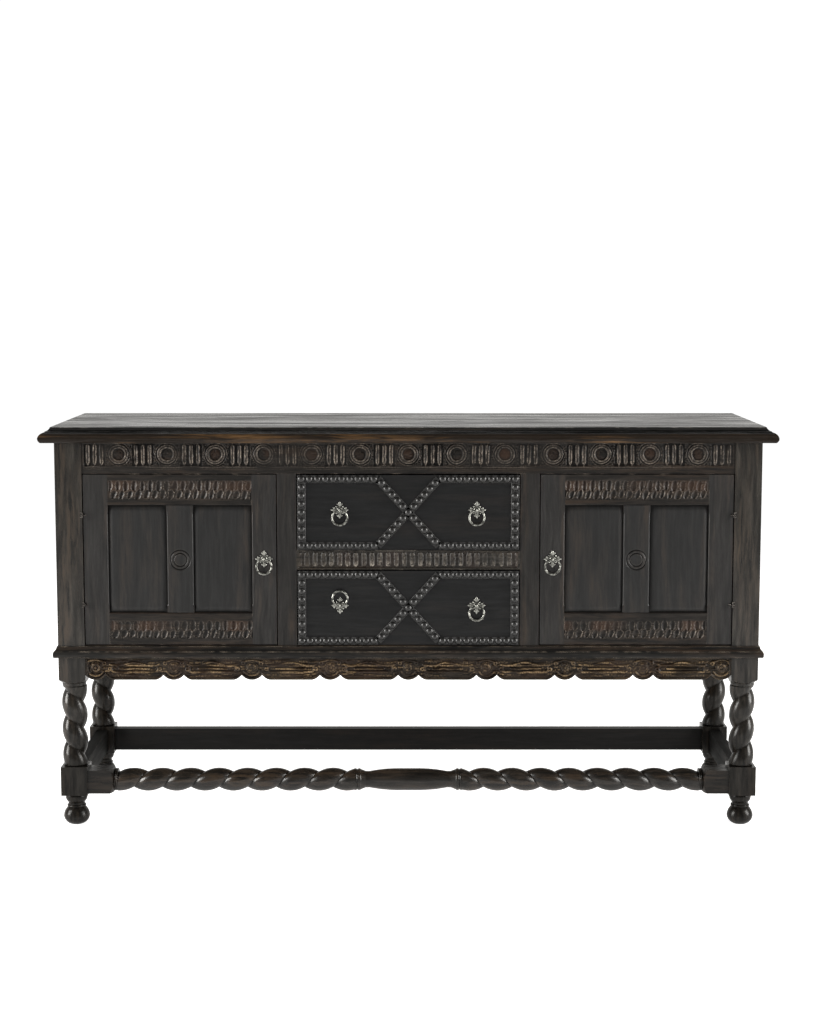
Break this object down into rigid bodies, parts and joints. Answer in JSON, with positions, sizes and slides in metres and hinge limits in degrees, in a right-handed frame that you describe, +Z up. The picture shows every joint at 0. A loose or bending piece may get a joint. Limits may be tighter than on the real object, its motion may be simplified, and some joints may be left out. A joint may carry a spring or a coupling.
{
  "type": "sideboard",
  "caption": "Dark oak sideboard on barley-twist legs and stretcher, with panelled doors either side of beaded drawers under a moulded top",
  "frame": {"origin": "on the floor under the middle of the top", "axes": "+Z up, front faces -Y, +X runs along the front to the right"},
  "size_m": [1.83, 0.557, 1.016],
  "materials": {
    "case_wood": "dark stained oak, waxed",
    "carved_wood": "dark stained oak, carved, rubbed brown on the high places",
    "turned_wood": "dark stained oak, turned",
    "top": "dark stained oak, polished, worn grey",
    "beading": "dark stained hardwood, half-round beads",
    "inner_wood": "plain brown oak inside",
    "ring": "aged white brass",
    "plate": "aged white brass",
    "hinge": "worn iron wire"
  },
  "bodies": {
    "case": {"back_panel": "inner_wood", "bottom_board": "inner_wood", "divider_stile_left": "case_wood", "divider_stile_right": "case_wood", "door_stops": "inner_wood", "drawer_rail": "carved_wood", "drawer_runners": "inner_wood", "drawer_stops": "inner_wood", "frieze_rail": "carved_wood", "front_apron": "carved_wood", "front_stretcher": "turned_wood", "hinge_staples": "hinge", "partition_left": "inner_wood", "partition_right": "inner_wood", "post_front_left": "turned_wood", "post_front_right": "turned_wood", "post_rear_left": "turned_wood", "post_rear_right": "turned_wood", "rear_apron": "case_wood", "rear_stretcher": "case_wood", "rear_top_rail": "case_wood", "shelf_cleats": "inner_wood", "shelves": "inner_wood", "side_apron_left": "case_wood", "side_apron_right": "case_wood", "side_panels": "case_wood", "side_stretcher_left": "case_wood", "side_stretcher_right": "case_wood", "side_top_rails": "case_wood", "top_board": "top", "waist_moulding": "carved_wood"},
    "left_door": {"left_door_hinge_eyes": "hinge", "left_door_muntin": "carved_wood", "left_door_panels": "case_wood", "left_door_pull_plate": "plate", "left_door_rails": "carved_wood", "left_door_stiles": "case_wood"},
    "right_door": {"right_door_hinge_eyes": "hinge", "right_door_muntin": "carved_wood", "right_door_panels": "case_wood", "right_door_pull_plate": "plate", "right_door_rails": "carved_wood", "right_door_stiles": "case_wood"},
    "upper_drawer": {"upper_drawer_beading": "beading", "upper_drawer_bottom": "inner_wood", "upper_drawer_box": "inner_wood", "upper_drawer_front": "case_wood", "upper_drawer_pull_plates": "plate"},
    "lower_drawer": {"lower_drawer_beading": "beading", "lower_drawer_bottom": "inner_wood", "lower_drawer_box": "inner_wood", "lower_drawer_front": "case_wood", "lower_drawer_pull_plates": "plate"},
    "left_door_ring_body": {"left_door_ring": "ring"},
    "lower_drawer_ring_left_body": {"lower_drawer_ring_left": "ring"},
    "lower_drawer_ring_right_body": {"lower_drawer_ring_right": "ring"},
    "right_door_ring_body": {"right_door_ring": "ring"},
    "upper_drawer_ring_left_body": {"upper_drawer_ring_left": "ring"},
    "upper_drawer_ring_right_body": {"upper_drawer_ring_right": "ring"}
  },
  "joints": [
    {"name": "left_door_hinge", "type": "hinge", "parent": "case", "child": "left_door", "pos_m": [-0.81175, -0.2486, 0.68275], "axis": [0, 0, -1], "range_deg": [0, 110]},
    {"name": "right_door_hinge", "type": "hinge", "parent": "case", "child": "right_door", "pos_m": [0.81175, -0.2486, 0.68275], "axis": [0, 0, 1], "range_deg": [0, 110]},
    {"name": "upper_drawer_slide", "type": "slide", "parent": "case", "child": "upper_drawer", "axis": [0, -1, 0], "range_m": [0, 0.35]},
    {"name": "lower_drawer_slide", "type": "slide", "parent": "case", "child": "lower_drawer", "axis": [0, -1, 0], "range_m": [0, 0.35]},
    {"name": "left_door_ring_swing", "type": "hinge", "parent": "left_door", "child": "left_door_ring_body", "pos_m": [-0.3605, -0.25, 0.68525], "axis": [-1, 0, 0], "range_deg": [0, 180]},
    {"name": "right_door_ring_swing", "type": "hinge", "parent": "right_door", "child": "right_door_ring_body", "pos_m": [0.3605, -0.25, 0.68525], "axis": [-1, 0, 0], "range_deg": [0, 180]},
    {"name": "upper_left_ring_swing", "type": "hinge", "parent": "upper_drawer", "child": "upper_drawer_ring_left_body", "pos_m": [-0.171, -0.25, 0.80863], "axis": [-1, 0, 0], "range_deg": [0, 180]},
    {"name": "upper_right_ring_swing", "type": "hinge", "parent": "upper_drawer", "child": "upper_drawer_ring_right_body", "pos_m": [0.171, -0.25, 0.80863], "axis": [-1, 0, 0], "range_deg": [0, 180]},
    {"name": "lower_left_ring_swing", "type": "hinge", "parent": "lower_drawer", "child": "lower_drawer_ring_left_body", "pos_m": [-0.171, -0.25, 0.56788], "axis": [1, 0, 0], "range_deg": [0, 180]},
    {"name": "lower_right_ring_swing", "type": "hinge", "parent": "lower_drawer", "child": "lower_drawer_ring_right_body", "pos_m": [0.171, -0.25, 0.56788], "axis": [-1, 0, 0], "range_deg": [0, 180]}
  ]
}
